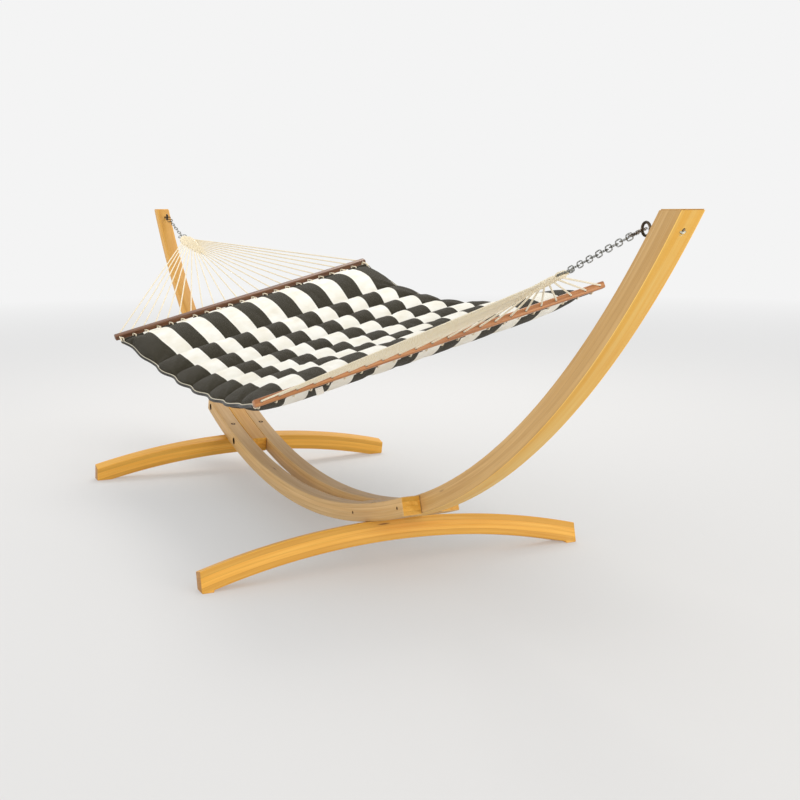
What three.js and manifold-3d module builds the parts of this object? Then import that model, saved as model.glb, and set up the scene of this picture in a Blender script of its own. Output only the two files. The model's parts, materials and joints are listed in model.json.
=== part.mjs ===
// A quilted hammock hung between the two arms of a laminated arc stand.
// Millimetres, +Z up. X runs along the hammock, and the origin is on the floor under the stand's middle.
// "right" is the +X end, "left" the -X end, "front" the -Y side and "back" the +Y side.
import * as THREE from "three";
import { mergeVertices } from "three/addons/utils/BufferGeometryUtils.js";
import Module from "manifold-3d";

const wasm = await Module();
wasm.setup();

const GAP = 0.4; // between pieces that rest on or pass through one another
const BOND = 1; // overlap of two shapes that are joined into one piece
const HEX_SIDES = 6;
const BOLT_SIDES = 10;
const BORE_SIDES = 16;
const CORD_SIDES = 6;
const WIRE_SIDES = 8;
const ARC_STEPS = 18; // straight runs in a long arc

// Laminated stand
const STAND_HEIGHT = 1210; // floor to the level cut at an arm's tip
const BEAM_WIDTH = 67; // each arm and rail, across
const BEAM_DEPTH = 63.5; // each arm and rail, through its laminations
const EDGE_EASE = 3; // chamfer along every beam's long edges
const TIP_CHAMFER = 5; // the arm tip's corners
const RAIL_RADIUS = 3520; // centreline of the two rails
const RAIL_HALF = 1145; // stand's middle to a rail's end
const ARM_LAP_START = 655; // stand's middle to an arm's lower end
const ARM_RADIUS = 2778; // centreline of an arm outside its foot
const FOOT_PLACE = 892; // stand's middle to the middle of a cross foot, on the floor
const FOOT_HALF = 702; // half of a cross foot's length
const FOOT_WIDTH = 58;
const FOOT_DEPTH = 73;
const FOOT_ARCH = 86; // rise of the foot's underside over its tips
const FOOT_PAD = 42; // length of the flat that meets the floor at each foot tip
const SEAT_DEPTH = 2; // flat let into a foot's crown for the rails

// Bolts through the two rails and the arm between them
const LAP_BOLT_INSET = [70, 40]; // inside an arm's lower end, and inside a rail's end
const LAP_BOLT_PLACES = [ARM_LAP_START + LAP_BOLT_INSET[0], RAIL_HALF - LAP_BOLT_INSET[1]];
const LAP_BOLT_RADIUS = 5;
const HEX_RADIUS = 9.5; // across the corners of every hexagon, halved
const LAP_HEAD_HEIGHT = 6;
const LAP_NUT_HEIGHT = 8;
const COUNTERBORE_ROOM = 2.5; // around a hexagon's corners
const COUNTERBORE_RADIUS = HEX_RADIUS + COUNTERBORE_ROOM;
const COUNTERBORE_DEPTH = 15;
const THREAD_END = 3; // how far a bolt shows past its nut

// Screws down through each rail into the foot
const FOOT_BOLT_RADIUS = 4;
const FOOT_BOLT_HEAD_REACH = 3; // its head past its shank
const FOOT_BOLT_HEAD_RADIUS = FOOT_BOLT_RADIUS + FOOT_BOLT_HEAD_REACH;
const FOOT_BOLT_HEAD_HEIGHT = 4;
const FOOT_BOLT_SINK = 6; // depth of the recess for its head
const FOOT_BOLT_BITE = 40; // length in the foot
const FOOT_BOLT_ROOM = 1; // around its head

// Eye bolt through each arm's tip
const EYE_DROP = 45; // below the stand's height
const EYE_WIRE = 7;
const EYE_HOLE = 24; // inside diameter of the eye
const EYE_STEM = 36; // eye to the arm's inner face
const EYE_NUT_HEIGHT = 7;
const EYE_FLANGE_REACH = 3.5; // the nut's own washer past its hexagon
const EYE_FLANGE_RADIUS = HEX_RADIUS + EYE_FLANGE_REACH;
const EYE_FLANGE_HEIGHT = 2.5;
const EYE_RECESS_ROOM = 2; // around the washer
const EYE_RECESS_RADIUS = EYE_FLANGE_RADIUS + EYE_RECESS_ROOM;
const EYE_RECESS_DEPTH = 12;

// Hooks, chains and rings
const HOOK_WIRE = 6;
const HOOK_LOOP = 14; // centreline radius of each half of the S
const HOOK_WRAP = 80; // degrees that each half turns past its bearing point
const LINK_WIRE = 4;
const LINK_LENGTH = 25.2; // inside
const LINK_ROOM = 8; // beside the next link's wire
const LINK_WIDTH = LINK_WIRE + LINK_ROOM; // inside
const RING_WIRE = 6;
const RING_RADIUS = 22; // centreline
const CHAIN = {
  right: { links: 13, slope: 17.8 },
  left: { links: 7, slope: 27 },
}; // slope in degrees below level, from hook to ring

// Hammock
const ROLL = 14.4; // degrees that the hammock has swung to the front
const BAR_PLACE = 1058; // hammock's middle to a spreader bar
const BAR_DROP = 385; // hooks down to a spreader bar
const BAR_SHIFT = 24; // how far the bars hang to the front of the hooks
const BAR_DEPTH = 32; // along the ropes
const BAR_HEIGHT = 24;
const BAR_EASE = 5;
const ROPE_COUNT = 22;
const ROPE_PITCH = 59.8;
const ROPE_SPREAD = (ROPE_COUNT - 1) * ROPE_PITCH; // between the two outermost ropes
const BAR_END = 22.1; // past the outermost rope
const BAR_LENGTH = ROPE_SPREAD + 2 * BAR_END;
const ROPE_RADIUS = 3;
const ROPE_CLEARANCE = 1.2;
const CLEW_LENGTH = 330;
const CLEW_NECK = 26; // width where it wraps the ring
const CLEW_SWELL = 42; // width it gains at its widest
const CLEW_WIDEST = 0.31; // share of its length to where it is widest
const CLEW_STEPS = 9;
const CLEW_THICKNESS = 12;
const TIE_LENGTH = 45; // rope between a bar and the bed's hem
const ROD_RADIUS = 5;
const HEM_WALL = 6; // folded cloth about a rod
const HEM_RADIUS = ROD_RADIUS + HEM_WALL;
const BED_EDGE = 10.1; // past the outermost rope
const BED_WIDTH = ROPE_SPREAD + 2 * BED_EDGE;
const BED_WAIST = 50; // how far each side edge is drawn in at its middle
const BED_SAG = 111;
const SEAMS = [0.217, 0.339, 0.461, 0.584, 0.708, 0.834]; // shares of the bed's length, from the left
const CHANNEL_STEPS = 6; // straight runs across one channel
const CHANNEL_THICKNESS = 72;
const SEAM_THICKNESS = 14;
const TAG_SIZE = [2, 26, 24];
const TAG_PLACE = -440; // along the bar

const radians = THREE.MathUtils.degToRad;

// Materials
const look = (color, roughness, metalness) =>
  new THREE.MeshStandardMaterial({ color, roughness, metalness });
const standWood = () => look(0xd79a3c, 0.5, 0);
const barWood = () => look(0x9a5c33, 0.5, 0);
const zinc = () => look(0x9a9a94, 0.4, 1);
const bronzed = () => look(0x4a4038, 0.45, 1);
const rope = () => look(0xe3d3b0, 0.9, 0);
const quilt = () => look(0x45413e, 0.9, 0);
const tape = () => look(0xf2f0ea, 0.8, 0);

// Solids
function solidOf(geometry) {
  const bare = geometry.clone();
  bare.deleteAttribute("normal");
  bare.deleteAttribute("uv");
  const merged = mergeVertices(bare, 1e-3);
  return new wasm.Manifold(
    new wasm.Mesh({
      numProp: 3,
      vertProperties: merged.attributes.position.array,
      triVerts: new Uint32Array(merged.index.array),
    }),
  );
}

function geometryOf(solid) {
  const { vertProperties, triVerts } = solid.getMesh();
  const geometry = new THREE.BufferGeometry();
  geometry.setAttribute("position", new THREE.BufferAttribute(vertProperties, 3));
  geometry.setIndex(new THREE.BufferAttribute(triVerts, 1));
  geometry.computeVertexNormals();
  return geometry;
}

const cut = (geometry, tools) =>
  geometryOf(tools.reduce((solid, tool) => solid.subtract(solidOf(tool)), solidOf(geometry)));

const join = (geometries) =>
  geometryOf(geometries.map(solidOf).reduce((solid, next) => solid.add(next)));

function node(name, geometry, material) {
  const mesh = new THREE.Mesh(geometry, material);
  mesh.name = name;
  return mesh;
}

function groupOf(...members) {
  const group = new THREE.Group();
  group.add(...members);
  return group;
}

// An outline in X and Z, given its width along Y about the plane y = middle.
function plateOf(outline, width, middle = 0, ease = 0) {
  const geometry = new THREE.ExtrudeGeometry(outline, {
    depth: width - 2 * ease,
    bevelEnabled: ease > 0,
    bevelThickness: ease,
    bevelSize: ease,
    bevelOffset: -ease,
    bevelSegments: 1,
  });
  return geometry
    .translate(0, 0, ease - width / 2)
    .rotateX(Math.PI / 2)
    .translate(0, middle, 0);
}

// A straight cylinder from a start point along a direction.
function rodOf(radius, start, direction, length, sides = BOLT_SIDES) {
  const along = direction.clone().normalize();
  const turn = new THREE.Quaternion().setFromUnitVectors(new THREE.Vector3(0, 1, 0), along);
  const middle = start.clone().addScaledVector(along, length / 2);
  return new THREE.CylinderGeometry(radius, radius, length, sides)
    .applyQuaternion(turn)
    .translate(...middle.toArray());
}

// A run of straight pieces through chosen points.
class Route extends THREE.Curve {
  constructor(points) {
    super();
    this.points = points;
  }
  getPoint(t) {
    const last = this.points.length - 1;
    const index = Math.min(Math.floor(t * last), last - 1);
    return this.points[index].clone().lerp(this.points[index + 1], t * last - index);
  }
  getPointAt(u) {
    return this.getPoint(u);
  }
  getTangentAt(u) {
    return this.getTangent(u);
  }
}

function circleShape(radius, sides) {
  const corners = Array.from({ length: sides }, (_, i) => {
    const angle = (2 * Math.PI * i) / sides;
    return new THREE.Vector2(radius * Math.cos(angle), radius * Math.sin(angle));
  });
  return new THREE.Shape(corners);
}

const cordOf = (points, radius) =>
  new THREE.ExtrudeGeometry(circleShape(radius, CORD_SIDES), {
    steps: points.length - 1,
    extrudePath: new Route(points),
  });

// Arcs of the stand, in X and Z. An angle of 0 is straight below the centre, and grows towards +X.
const BEAM_HALF = BEAM_DEPTH / 2;
const FOOT_TOP = FOOT_ARCH + FOOT_DEPTH;
// Each foot leans in with the rails' curve, so that its crown lies flat under them.
const railOverFoot = RAIL_RADIUS + BEAM_HALF + FOOT_TOP - SEAT_DEPTH;
const footLean = Math.asin(FOOT_PLACE / railOverFoot);
const railCentre = new THREE.Vector2(0, railOverFoot * Math.cos(footLean));
const railAngle = (x) => Math.asin(x / RAIL_RADIUS);
const armCentre = arcPoint(railCentre, RAIL_RADIUS - ARM_RADIUS, footLean);
const tipAngle = (radius) => Math.acos((armCentre.y - STAND_HEIGHT) / radius);

function arcPoint(centre, radius, angle) {
  return new THREE.Vector2(centre.x + radius * Math.sin(angle), centre.y - radius * Math.cos(angle));
}

function arcPoints(centre, radius, from, to, steps) {
  return Array.from({ length: steps + 1 }, (_, i) =>
    arcPoint(centre, radius, from + ((to - from) * i) / steps),
  );
}

function bandOutline(centre, radius, depth, from, to, steps = ARC_STEPS) {
  return new THREE.Shape([
    ...arcPoints(centre, radius + depth / 2, from, to, steps),
    ...arcPoints(centre, radius - depth / 2, to, from, steps),
  ]);
}

function armOutline() {
  const outer = ARM_RADIUS + BEAM_HALF;
  const inner = ARM_RADIUS - BEAM_HALF;
  const lap = railAngle(ARM_LAP_START);
  const lapSteps = 2;
  const outerTip = arcPoint(armCentre, outer, tipAngle(outer));
  const innerTip = arcPoint(armCentre, inner, tipAngle(inner));
  return new THREE.Shape([
    ...arcPoints(railCentre, RAIL_RADIUS + BEAM_HALF, lap, footLean, lapSteps).slice(0, -1),
    ...arcPoints(armCentre, outer, footLean, tipAngle(outer) - TIP_CHAMFER / outer, ARC_STEPS),
    new THREE.Vector2(outerTip.x - TIP_CHAMFER, outerTip.y),
    new THREE.Vector2(innerTip.x + TIP_CHAMFER, innerTip.y),
    ...arcPoints(armCentre, inner, tipAngle(inner) - TIP_CHAMFER / inner, footLean, ARC_STEPS),
    ...arcPoints(railCentre, RAIL_RADIUS - BEAM_HALF, footLean, lap, lapSteps).slice(1),
  ]);
}

// Lap bolts run along Y at these points of the rails' centreline.
const lapSpots = LAP_BOLT_PLACES.flatMap((x) => {
  const spot = arcPoint(railCentre, RAIL_RADIUS, railAngle(x));
  return [spot, new THREE.Vector2(-spot.x, spot.y)];
});
const RAIL_MIDDLE = BEAM_WIDTH + GAP; // the rails' offset from the arms' plane
const STACK_HALF = RAIL_MIDDLE + BEAM_WIDTH / 2;
const BACKWARD = new THREE.Vector3(0, 1, 0);

const lapHole = ({ x, y }) => {
  const start = new THREE.Vector3(x, -STACK_HALF - GAP, y);
  return rodOf(LAP_BOLT_RADIUS + GAP, start, BACKWARD, 2 * (STACK_HALF + GAP));
};

const lapRecess = ({ x, y }, side) =>
  rodOf(
    COUNTERBORE_RADIUS,
    new THREE.Vector3(x, side * (STACK_HALF + GAP), y),
    new THREE.Vector3(0, -side, 0),
    COUNTERBORE_DEPTH + GAP,
    BORE_SIDES,
  );

// A foot screw runs along the rails' radius. These four start at the rails' tops.
const footBoltSpots = [1, -1].flatMap((end) => {
  const { x, y } = arcPoint(railCentre, RAIL_RADIUS - BEAM_HALF, end * footLean);
  const axis = new THREE.Vector3(end * Math.sin(footLean), 0, -Math.cos(footLean));
  return [-1, 1].map((side) => ({ axis, top: new THREE.Vector3(x, side * RAIL_MIDDLE, y) }));
});

const footBoltHole = ({ axis, top }) =>
  rodOf(FOOT_BOLT_RADIUS + GAP, top, axis, BEAM_DEPTH + FOOT_BOLT_BITE + 2 * GAP);

const footBoltRecess = ({ axis, top }) => {
  const start = top.clone().addScaledVector(axis, -GAP);
  return rodOf(FOOT_BOLT_HEAD_RADIUS + FOOT_BOLT_ROOM, start, axis, FOOT_BOLT_SINK + GAP);
};

// Eye bolt: it runs level along X through the arm's tip.
const EYE_HEIGHT = STAND_HEIGHT - EYE_DROP;
const faceX = (radius) => armCentre.x + Math.sqrt(radius ** 2 - (armCentre.y - EYE_HEIGHT) ** 2);
const armInnerX = faceX(ARM_RADIUS - BEAM_HALF);
const armOuterX = faceX(ARM_RADIUS + BEAM_HALF);
const eyeRing = (EYE_HOLE + EYE_WIRE) / 2;
const eyeX = armInnerX - EYE_STEM - EYE_WIRE - EYE_HOLE / 2;
const recessFloorX = armOuterX - EYE_RECESS_DEPTH;
const hookX = eyeX - EYE_HOLE / 2 + GAP + HOOK_WIRE / 2; // where an S-hook bears in the eye
const OUTWARD = new THREE.Vector3(1, 0, 0);

const atEye = (x) => new THREE.Vector3(x, 0, EYE_HEIGHT);

function armPair() {
  const sawn = plateOf(armOutline(), BEAM_WIDTH, 0, EDGE_EASE);
  const reach = STAND_HEIGHT; // longer than the tip is thick
  const made = cut(sawn, [
    ...lapSpots.filter((spot) => spot.x > 0).map(lapHole),
    rodOf(EYE_WIRE / 2 + GAP, atEye(eyeX), OUTWARD, reach),
    rodOf(EYE_RECESS_RADIUS, atEye(recessFloorX), OUTWARD, reach, BORE_SIDES),
  ]);
  const right = node("arm_right", made, standWood());
  const left = node("arm_left", made, standWood());
  left.rotation.z = Math.PI;
  return [right, left];
}

function railPair() {
  const ends = railAngle(RAIL_HALF);
  const outline = bandOutline(railCentre, RAIL_RADIUS, BEAM_DEPTH, -ends, ends);
  return [-1, 1].map((side) => {
    const sawn = plateOf(outline, BEAM_WIDTH, side * RAIL_MIDDLE, EDGE_EASE);
    const spots = footBoltSpots.filter(({ top }) => Math.sign(top.y) === side);
    const made = cut(sawn, [
      ...lapSpots.map(lapHole),
      ...lapSpots.map((spot) => lapRecess(spot, side)),
      ...spots.map(footBoltHole),
      ...spots.map(footBoltRecess),
    ]);
    return node(side < 0 ? "rail_front" : "rail_back", made, standWood());
  });
}

// A cross foot's arch, seen along X. Its tips reach below the floor, where they are cut off.
function footOutline() {
  const span = FOOT_HALF - FOOT_PAD;
  const radius = (span ** 2 + FOOT_ARCH ** 2) / (2 * FOOT_ARCH);
  const under = Math.asin(span / radius);
  const over = Math.asin(FOOT_HALF / (radius + FOOT_DEPTH));
  const buried = -FOOT_WIDTH / 2;
  const middle = new THREE.Vector2(0, FOOT_ARCH - radius);
  const arch = (arc, from, to) => arcPoints(middle, -arc, from, to, ARC_STEPS);
  return new THREE.Shape([
    new THREE.Vector2(-FOOT_HALF, buried),
    ...arch(radius + FOOT_DEPTH, over, -over),
    new THREE.Vector2(FOOT_HALF, buried),
    new THREE.Vector2(span, buried),
    ...arch(radius, -under, under),
    new THREE.Vector2(-span, buried),
  ]);
}

function crossFeet() {
  const reach = FOOT_WIDTH / RAIL_RADIUS;
  const seat = bandOutline(railCentre, RAIL_RADIUS + GAP, BEAM_DEPTH, footLean - reach, footLean + reach);
  const ground = new THREE.BoxGeometry(4 * FOOT_WIDTH, 3 * FOOT_HALF, 2 * FOOT_WIDTH);
  const leaning = plateOf(footOutline(), FOOT_WIDTH, 0, EDGE_EASE)
    .rotateZ(-Math.PI / 2)
    .rotateY(-footLean)
    .translate(FOOT_PLACE, 0, 0);
  const made = cut(leaning, [
    ground.translate(FOOT_PLACE, 0, -FOOT_WIDTH),
    plateOf(seat, 2 * (STACK_HALF + GAP)),
    ...footBoltSpots.filter(({ top }) => top.x > 0).map(footBoltHole),
  ]);
  const right = node("foot_right", made, standWood());
  const left = node("foot_left", made, standWood());
  left.rotation.z = Math.PI;
  return [right, left];
}

function lapBolts() {
  const floor = STACK_HALF - COUNTERBORE_DEPTH; // bottom of each counterbore
  const length = 2 * floor + LAP_NUT_HEIGHT + THREAD_END + BOND;
  return lapSpots.flatMap(({ x, y }, i) => {
    const at = (place) => new THREE.Vector3(x, place, y);
    const headStart = at(-floor - GAP - LAP_HEAD_HEIGHT);
    const head = rodOf(HEX_RADIUS, headStart, BACKWARD, LAP_HEAD_HEIGHT, HEX_SIDES);
    const shank = rodOf(LAP_BOLT_RADIUS, at(-floor - GAP - BOND), BACKWARD, length);
    const nut = rodOf(HEX_RADIUS, at(floor + GAP), BACKWARD, LAP_NUT_HEIGHT, HEX_SIDES);
    const bore = rodOf(LAP_BOLT_RADIUS + GAP, at(0), BACKWARD, 2 * floor);
    return [
      node(`lap_bolt_${i + 1}`, join([head, shank]), zinc()),
      node(`lap_nut_${i + 1}`, cut(nut, [bore]), zinc()),
    ];
  });
}

function footBolts() {
  const seat = FOOT_BOLT_SINK - GAP; // underside of the head, from the rail's top
  const length = BEAM_DEPTH + FOOT_BOLT_BITE - seat + BOND;
  return footBoltSpots.map(({ axis, top }, i) => {
    const down = (depth) => top.clone().addScaledVector(axis, depth);
    const headStart = down(seat - FOOT_BOLT_HEAD_HEIGHT);
    const head = rodOf(FOOT_BOLT_HEAD_RADIUS, headStart, axis, FOOT_BOLT_HEAD_HEIGHT, HEX_SIDES);
    const shank = rodOf(FOOT_BOLT_RADIUS, down(seat - BOND), axis, length);
    return node(`foot_bolt_${i + 1}`, join([head, shank]), zinc());
  });
}

function eyeSet(end) {
  const flangeX = recessFloorX + GAP;
  const nutX = flangeX + EYE_FLANGE_HEIGHT;
  const shankX = eyeX + EYE_HOLE / 2 + BOND;
  const shankLength = nutX + EYE_NUT_HEIGHT + THREAD_END - shankX;
  const eye = new THREE.TorusGeometry(eyeRing, EYE_WIRE / 2, WIRE_SIDES, BORE_SIDES)
    .rotateX(Math.PI / 2)
    .translate(eyeX, 0, EYE_HEIGHT);
  const shank = rodOf(EYE_WIRE / 2, atEye(shankX), OUTWARD, shankLength);
  const bore = rodOf(EYE_WIRE / 2 + GAP, atEye(eyeX), OUTWARD, armOuterX);
  const flange = rodOf(EYE_FLANGE_RADIUS, atEye(flangeX), OUTWARD, EYE_FLANGE_HEIGHT, BORE_SIDES);
  const hexagon = rodOf(HEX_RADIUS, atEye(nutX - BOND), OUTWARD, EYE_NUT_HEIGHT + BOND, HEX_SIDES);
  const set = groupOf(
    node(`eye_bolt_${end}`, join([eye, shank]), bronzed()),
    node(`eye_nut_${end}`, cut(join([flange, hexagon]), [bore]), zinc()),
  );
  set.rotation.z = end === "left" ? Math.PI : 0;
  return set;
}

// An S in the XY plane. It bears on the eye at the origin and on the chain at x = 4 loops.
class HookLine extends THREE.Curve {
  getPoint(t) {
    const wrap = radians(HOOK_WRAP);
    const sweep = Math.PI + wrap;
    const first = t < 0.5;
    const turned = first ? sweep * (1 - 2 * t) : sweep * (2 * t - 1);
    const centre = HOOK_LOOP * (first ? 1 : 3);
    const angle = first ? turned : Math.PI + turned;
    return new THREE.Vector3(centre + HOOK_LOOP * Math.cos(angle), HOOK_LOOP * Math.sin(angle), 0);
  }
}

function hookShape() {
  const steps = 24;
  const wire = circleShape(HOOK_WIRE / 2, WIRE_SIDES);
  return new THREE.ExtrudeGeometry(wire, { steps, extrudePath: new HookLine() });
}

// A chain link along X: a torus whose two halves are drawn apart.
function linkShape() {
  const bend = (LINK_WIDTH + LINK_WIRE) / 2;
  const stretch = (LINK_LENGTH - LINK_WIDTH) / 2;
  const geometry = new THREE.TorusGeometry(bend, LINK_WIRE / 2, CORD_SIDES, BOLT_SIDES);
  const { position } = geometry.attributes;
  for (let i = 0; i < position.count; i += 1) {
    position.setX(i, position.getX(i) + Math.sign(position.getX(i)) * stretch);
  }
  return geometry;
}

// Places along one chain, measured from the point where its hook bears: each link, and the ring's wire.
function chainPlaces(links) {
  const pitch = LINK_LENGTH - GAP;
  const first = 4 * HOOK_LOOP - HOOK_WIRE / 2 - GAP + LINK_LENGTH / 2;
  const centres = Array.from({ length: links }, (_, i) => first + i * pitch);
  const wire = centres[links - 1] + LINK_LENGTH / 2 - GAP - RING_WIRE / 2;
  return { centres, wire };
}

function chainSet(end) {
  const { links, slope } = CHAIN[end];
  const { centres } = chainPlaces(links);
  const set = groupOf(
    node(`s_hook_${end}`, hookShape(), bronzed()),
    ...centres.map((x, i) => {
      const link = node(`chain_${end}_${i + 1}`, linkShape(), zinc());
      link.position.x = x;
      link.rotation.x = i % 2 === 0 ? Math.PI / 2 : 0;
      return link;
    }),
  );
  set.position.x = hookX;
  set.rotation.y = Math.PI - radians(slope);
  return set;
}

const ringShape = (wire) => new THREE.TorusGeometry(RING_RADIUS, wire, WIRE_SIDES, BORE_SIDES);

// Where one end's ring lies from its bar: how far its middle is, and how steeply up.
function harnessLine(end) {
  const { links, slope } = CHAIN[end];
  const reach = chainPlaces(links).wire;
  const run = hookX - reach * Math.cos(radians(slope)) - BAR_PLACE;
  const rise = BAR_DROP - reach * Math.sin(radians(slope));
  return { length: Math.hypot(run, rise) - RING_RADIUS, slope: Math.atan2(rise, run) };
}

// Clew half-width at a distance from the ring's middle.
function clewHalf(distance) {
  const along = Math.max(distance - RING_RADIUS, 0) / (CLEW_LENGTH - RING_RADIUS);
  const skew = Math.log(0.5) / Math.log(CLEW_WIDEST);
  const leaf = Math.sin(Math.PI * along ** skew);
  return (CLEW_NECK * (1 - along) + CLEW_SWELL * leaf) / 2 + ROPE_RADIUS;
}

function clewShape(length, shift) {
  const pitch = (CLEW_LENGTH - RING_RADIUS / 2) / CLEW_STEPS;
  const places = Array.from({ length: CLEW_STEPS + 1 }, (_, i) => RING_RADIUS / 2 + i * pitch);
  const sideOf = (sign) =>
    places.map((place) => new THREE.Vector2(length - place, shift + sign * clewHalf(place)));
  const outline = new THREE.Shape([...sideOf(-1), ...sideOf(1).reverse()]);
  return new THREE.ExtrudeGeometry(outline, {
    depth: CLEW_THICKNESS,
    bevelEnabled: false,
  }).translate(0, 0, -CLEW_THICKNESS / 2);
}

// The outer ropes leave the clew near the ring, the inner ones near its tip.
function ropeRoute(y, length, shift) {
  const outermost = ((ROPE_COUNT - 1) / 2) * ROPE_PITCH;
  const first = CLEW_LENGTH - 4 * ROPE_RADIUS;
  const leave = first - (first - 4 * RING_RADIUS) * (Math.abs(y) / outermost);
  const inset = Math.sign(y) * (clewHalf(leave) - 2 * ROPE_RADIUS);
  const mouth = BAR_DEPTH / 2 + ROPE_RADIUS;
  return [
    new THREE.Vector3(length - leave, shift + inset, 0),
    new THREE.Vector3(mouth, y, 0),
    new THREE.Vector3(-mouth, y, 0),
    new THREE.Vector3(HEM_PLACE + HEM_RADIUS + GAP, y, 0),
  ];
}

// The clew and its ropes lie in the XY plane, with the bar's middle at the origin and the ring towards +X.
function harnessShape(length, shift) {
  const clew = clewShape(length, shift);
  const ropes = ropePlaces().map((y) => cordOf(ropeRoute(y, length, shift), ROPE_RADIUS));
  const wire = ringShape(RING_WIRE / 2 + GAP).translate(length, shift, 0);
  return cut(join([clew, ...ropes]), [wire]);
}

const ropePlaces = () =>
  Array.from({ length: ROPE_COUNT }, (_, i) => (i - (ROPE_COUNT - 1) / 2) * ROPE_PITCH);

function barShape() {
  const width = BAR_DEPTH;
  const corner = BAR_EASE;
  const outline = new THREE.Shape([
    new THREE.Vector2(-width / 2 + corner, -BAR_HEIGHT / 2),
    new THREE.Vector2(width / 2 - corner, -BAR_HEIGHT / 2),
    new THREE.Vector2(width / 2, -BAR_HEIGHT / 2 + corner),
    new THREE.Vector2(width / 2, BAR_HEIGHT / 2 - corner),
    new THREE.Vector2(width / 2 - corner, BAR_HEIGHT / 2),
    new THREE.Vector2(-width / 2 + corner, BAR_HEIGHT / 2),
    new THREE.Vector2(-width / 2, BAR_HEIGHT / 2 - corner),
    new THREE.Vector2(-width / 2, -BAR_HEIGHT / 2 + corner),
  ]);
  const holes = ropePlaces().map((y) => {
    const start = new THREE.Vector3(-width, y, 0);
    return rodOf(ROPE_RADIUS + ROPE_CLEARANCE, start, OUTWARD, 2 * width, WIRE_SIDES);
  });
  return cut(plateOf(outline, BAR_LENGTH), holes);
}

const HEM_PLACE = -BAR_DEPTH / 2 - TIE_LENGTH; // a hem rod's middle, from its bar's middle

function endSet(end) {
  const { length, slope } = harnessLine(end);
  const shift = end === "left" ? -BAR_SHIFT : BAR_SHIFT;
  const rodStart = new THREE.Vector3(HEM_PLACE, -BED_WIDTH / 2, 0);
  const rod = rodOf(ROD_RADIUS, rodStart, BACKWARD, BED_WIDTH);
  const set = groupOf(
    node(`ring_${end}`, ringShape(RING_WIRE / 2).translate(length, shift, 0), zinc()),
    node(`harness_${end}`, harnessShape(length, shift), rope()),
    node(`bar_${end}`, barShape(), barWood()),
    node(`hem_rod_${end}`, rod, zinc()),
  );
  set.position.set(BAR_PLACE, -shift, -BAR_DROP);
  set.rotation.y = -slope;
  return set;
}

// A hem's middle in the hammock's X and Z.
function hemPoint(end) {
  const { slope } = harnessLine(end);
  const x = BAR_PLACE + HEM_PLACE * Math.cos(slope);
  const z = -BAR_DROP + HEM_PLACE * Math.sin(slope);
  return new THREE.Vector2(end === "right" ? x : -x, z);
}

// The bed's middle surface hangs in a shallow curve between its hems.
function bedMiddle(share) {
  const point = hemPoint("left").lerp(hemPoint("right"), share);
  point.y -= BED_SAG * 4 * share * (1 - share);
  return point;
}

// One face of the bed's section: padded channels between the seams.
function skinOf(sign) {
  const edges = [0, ...SEAMS, 1];
  return edges.slice(1).flatMap((end, i) =>
    Array.from({ length: CHANNEL_STEPS }, (_, k) => {
      const across = k / CHANNEL_STEPS;
      const swell = Math.sqrt(Math.sin(Math.PI * across));
      const point = bedMiddle(edges[i] + (end - edges[i]) * across);
      point.y += (sign * (SEAM_THICKNESS + (CHANNEL_THICKNESS - SEAM_THICKNESS) * swell)) / 2;
      return point;
    }),
  ).slice(1);
}

// The bed's section along its length, with a hem sleeve at both ends.
function bedOutline() {
  const left = hemPoint("left");
  const right = hemPoint("right");
  const sleeve = (hem, from) => arcPoints(hem, HEM_RADIUS, from, from + Math.PI, CHANNEL_STEPS);
  const outline = new THREE.Shape([
    ...skinOf(-1),
    ...sleeve(right, 0),
    ...skinOf(1).reverse(),
    ...sleeve(left, Math.PI),
  ]);
  outline.holes = [left, right].map((hem) => {
    const bore = arcPoints(hem, ROD_RADIUS + GAP, 0, 2 * Math.PI, BOLT_SIDES).slice(0, -1);
    return new THREE.Path(bore);
  });
  return outline;
}

// What the drawn-in side edges leave out of a straight-sided bed, about one side.
function waistShape(side) {
  const half = BAR_PLACE;
  const radius = (half ** 2 + BED_WAIST ** 2) / (2 * BED_WAIST);
  const reach = Math.asin(half / radius);
  const edge = BED_WIDTH / 2 - BED_WAIST + radius;
  const arc = arcPoints(new THREE.Vector2(0, edge), radius, -reach, reach, ARC_STEPS);
  const outline = new THREE.Shape([
    ...arc,
    new THREE.Vector2(half, BED_WIDTH),
    new THREE.Vector2(-half, BED_WIDTH),
  ]);
  const depth = 2 * BAR_DROP;
  return new THREE.ExtrudeGeometry(outline, { depth, bevelEnabled: false })
    .rotateZ(side < 0 ? Math.PI : 0)
    .translate(0, -BAR_SHIFT, -depth);
}

function bedShape() {
  const straight = plateOf(bedOutline(), BED_WIDTH, -BAR_SHIFT);
  return cut(straight, [-1, 1].map(waistShape));
}

function tagShape() {
  const hem = hemPoint("right");
  const [thick, wide, tall] = TAG_SIZE;
  return new THREE.BoxGeometry(thick, wide, tall)
    .translate(hem.x, TAG_PLACE, hem.y - HEM_RADIUS - 2 * GAP - tall / 2);
}

function hammock() {
  const ends = ["right", "left"].map((end) => {
    const side = groupOf(chainSet(end), endSet(end));
    side.rotation.z = end === "left" ? Math.PI : 0;
    return side;
  });
  const hung = groupOf(
    ...ends,
    node("quilted_bed", bedShape(), quilt()),
    node("sewn_tag", tagShape(), tape()),
  );
  hung.position.z = EYE_HEIGHT;
  hung.rotation.x = radians(ROLL);
  return hung;
}

const root = groupOf(
  ...armPair(),
  ...railPair(),
  ...crossFeet(),
  ...lapBolts(),
  ...footBolts(),
  eyeSet("right"),
  eyeSet("left"),
  hammock(),
);

export default root;
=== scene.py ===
import json
import math
import bmesh
import bpy
import numpy as np
from mathutils import Matrix, Vector, noise


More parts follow.
